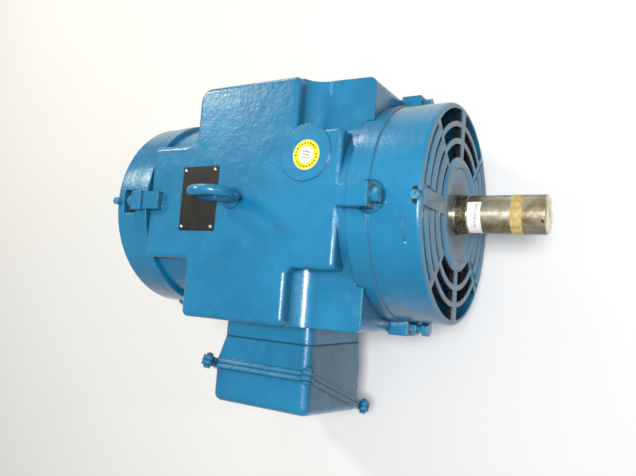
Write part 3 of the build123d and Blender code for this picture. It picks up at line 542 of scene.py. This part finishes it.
# blank printed marks on the sticker: a ring of short bars and a few in the middle
ink = matt_sheet("printed_ink", rgb(60, 30, 24), rgb(90, 50, 36), 0.5, 300)
marks = []
MARK_HEIGHT = STICKER_HIGH.z + 0.00016
for index in range(22):
    if index in (0, 11):
        continue
    turn = 2 * math.pi * index / 22 + 0.3
    outward = Vector((math.cos(turn), math.sin(turn), 0))
    sideways = Vector((-outward.y, outward.x, 0))
    middle = sticker_centre + outward * sticker_radius * 0.78
    middle.z = MARK_HEIGHT
    high = sticker_radius * random.uniform(0.04, 0.07)
    wide = sticker_radius * random.uniform(0.03, 0.06)
    marks.append([middle + outward * high * a + sideways * wide * b
                  for a, b in ((-1, -1), (-1, 1), (1, 1), (1, -1))])
for row in range(3):
    for step in range(4):
        middle = Vector((sticker_centre.x + (step - 1.5) * 0.0042, sticker_centre.y
                         + (1 - row) * 0.0060 - (step - 1.5) * 0.0012, MARK_HEIGHT))
        wide = random.uniform(0.0009, 0.0017)
        marks.append([middle + Vector((wide * a, 0.0011 * b, 0))
                      for a, b in ((-1, -1), (1, -1), (1, 1), (-1, 1))])
mesh_piece("sticker_marks", mesh_of_quads("sticker_marks", marks), ink, STATIC_BODY)

# bars on the shaft label
bars = []
LABEL_LIFT = SHAFT_RADIUS + 0.0007
for index in range(11):
    start = 68 + index * 6.5
    end = start + random.uniform(1.2, 2.4)
    left = 0.4155 - 0.00035 * index
    bars.append([on_shaft(left, start, LABEL_LIFT), on_shaft(left + 0.0045, start, LABEL_LIFT),
                 on_shaft(left + 0.0045, end, LABEL_LIFT), on_shaft(left, end, LABEL_LIFT)])
mesh_piece("label_bars", mesh_of_quads("label_bars", bars), ink, ROTOR_BODY)

# thick run of enamel on the drive-end bell
BELL_RADIUS = 0.2139
run = [on_shaft(0.3416 + 0.0062 * k / 12, 99.0 + 11.5 * k / 12, BELL_RADIUS) for k in range(13)]
mesh_piece("enamel_run", bead_mesh("enamel_run", run, 0.0016), enamel_bell, STATIC_BODY)
# a white speck at the lower end of the run
drip = [on_shaft(0.3478, 110.6 + 0.12 * k, BELL_RADIUS + 0.0004) for k in range(6)]
white_speck = matt_sheet("white_speck_mark", rgb(240, 244, 244), rgb(222, 230, 230), 0.4, 400)
mesh_piece("speck_on_bell", bead_mesh("speck_on_bell", drip, 0.0014), white_speck, STATIC_BODY)

# old grease round the drive-end plug
old_grease = matt_sheet("old_grease", rgb(14, 12, 10), rgb(34, 28, 22), 0.35, 220)
GREASE_BLOBS = 26
for index in range(GREASE_BLOBS):
    turn = random.uniform(-2.2, 2.2)
    reach = random.uniform(0.0085, 0.0125)
    x = PLUG_SPOT[0] - 0.006 + reach * math.cos(turn) * 1.05
    y = reach * math.sin(turn)
    if x > DRIVE_FACE - 0.003:
        continue
    size = random.uniform(0.0010, 0.0026)
    blob = [(x + size * 0.5 * math.cos(k), y + size * (k - 2), AXIS_Z + BELL_RADIUS + 0.0004)
            for k in range(5)]
    mesh_piece(f"grease_blob_{index:02d}", bead_mesh(f"grease_blob_{index:02d}", blob, size),
               old_grease, STATIC_BODY)

# centre-punched dimple near the shaft tip, with the stub of a tie wire in it
mesh = wrapped_patch("shaft_dimple", (0.5315, 0.5372), (112, 121), SHAFT_RADIUS, 0.0002, 0.0002,
                     (6, 8))
mesh_piece("shaft_dimple", mesh, old_grease, ROTOR_BODY)
stub = [on_shaft(0.5335 + 0.0009 * k, 117 - 0.4 * k + 1.2 * math.sin(1.7 * k),
                 SHAFT_RADIUS + 0.0010 + 0.0006 * math.sin(2.1 * k)) for k in range(7)]
mesh_piece("tie_wire_stub", bead_mesh("tie_wire_stub", stub, 0.0009), rivet_metal, ROTOR_BODY)

# ------------------------------------------------------------------ floor, light, camera
floor_mesh = bpy.data.meshes.new("floor")
builder = bmesh.new()
bmesh.ops.create_grid(builder, x_segments=1, y_segments=1, size=14)
builder.to_mesh(floor_mesh)
builder.free()
floor = bpy.data.objects.new("floor", floor_mesh)
bpy.context.scene.collection.objects.link(floor)
floor_graph = Graph("floor_pale")
floor_graph.set(Base_Color=floor_graph.mix(floor_graph.noise(3.0), rgb(230, 230, 230), rgb(234, 234, 234)),
                Roughness=0.9)
floor_graph.shader.inputs["Specular IOR Level"].default_value = 0.1
floor.data.materials.append(floor_graph.material)

MOTOR_CENTRE = Vector((0.08, -0.06, AXIS_Z))


def softbox(name, direction, distance, size, power, colour=(1, 1, 1)):
    """Rectangular area light aimed at the motor from a direction."""
    data = bpy.data.lights.new(name, "AREA")
    data.shape = "RECTANGLE"
    data.size, data.size_y = size
    data.energy = power
    data.color = colour
    lamp = bpy.data.objects.new(name, data)
    bpy.context.scene.collection.objects.link(lamp)
    toward = Vector(direction).normalized()
    lamp.location = MOTOR_CENTRE + toward * distance
    lamp.rotation_euler = toward.to_track_quat("Z", "Y").to_euler()
    return lamp


softbox("window_light", (-0.66, 0.45, 0.60), 3.0, (0.40, 0.55), 26, (1.0, 0.94, 0.72))
softbox("ceiling_light", (-0.45, 0.86, 0.22), 3.0, (0.6, 0.6), 14, (1.0, 0.98, 0.94))
softbox("side_light", (0.86, 0.09, 0.50), 3.2, (0.16, 1.2), 9, (0.95, 0.98, 1.0))
softbox("flash_light", (0.40, -0.02, 0.92), 2.6, (0.6, 0.6), 62, (1.0, 1.0, 1.0))

WORLD_STRENGTH = 0.36
world = bpy.data.worlds.new("studio")
bpy.context.scene.world = world
world.use_nodes = True
background = world.node_tree.nodes["Background"]
background.inputs["Color"].default_value = (1.0, 1.0, 1.0, 1.0)
background.inputs["Strength"].default_value = WORLD_STRENGTH

# Viewpoint: from above the drive end, with the picture's top towards +Y.
CAMERA_PLACE = Vector((0.7052, -0.1658, 1.0952 + AXIS_Z))
CAMERA_AIM = Vector((0.0638, -0.0507, AXIS_Z))
CAMERA_ROLL = 0.07338
SENSOR_WIDTH_MM = 36.0
LENS_MM = 32.83

camera_data = bpy.data.cameras.new("camera")
camera_data.sensor_width = SENSOR_WIDTH_MM
camera_data.lens = LENS_MM
camera = bpy.data.objects.new("camera", camera_data)
bpy.context.scene.collection.objects.link(camera)
backward = (CAMERA_PLACE - CAMERA_AIM).normalized()
right = Vector((0, 1, 0)).cross(backward).normalized()
up = backward.cross(right)
cosine, sine = math.cos(CAMERA_ROLL), math.sin(CAMERA_ROLL)
rolled_right = cosine * right + sine * up
rolled_up = cosine * up - sine * right
camera.matrix_world = Matrix((
    (rolled_right.x, rolled_up.x, backward.x, CAMERA_PLACE.x),
    (rolled_right.y, rolled_up.y, backward.y, CAMERA_PLACE.y),
    (rolled_right.z, rolled_up.z, backward.z, CAMERA_PLACE.z),
    (0, 0, 0, 1)))
bpy.context.scene.camera = camera

view = bpy.context.scene.view_settings
view.view_transform = "Standard"
view.look = "None"
view.exposure = 0.0
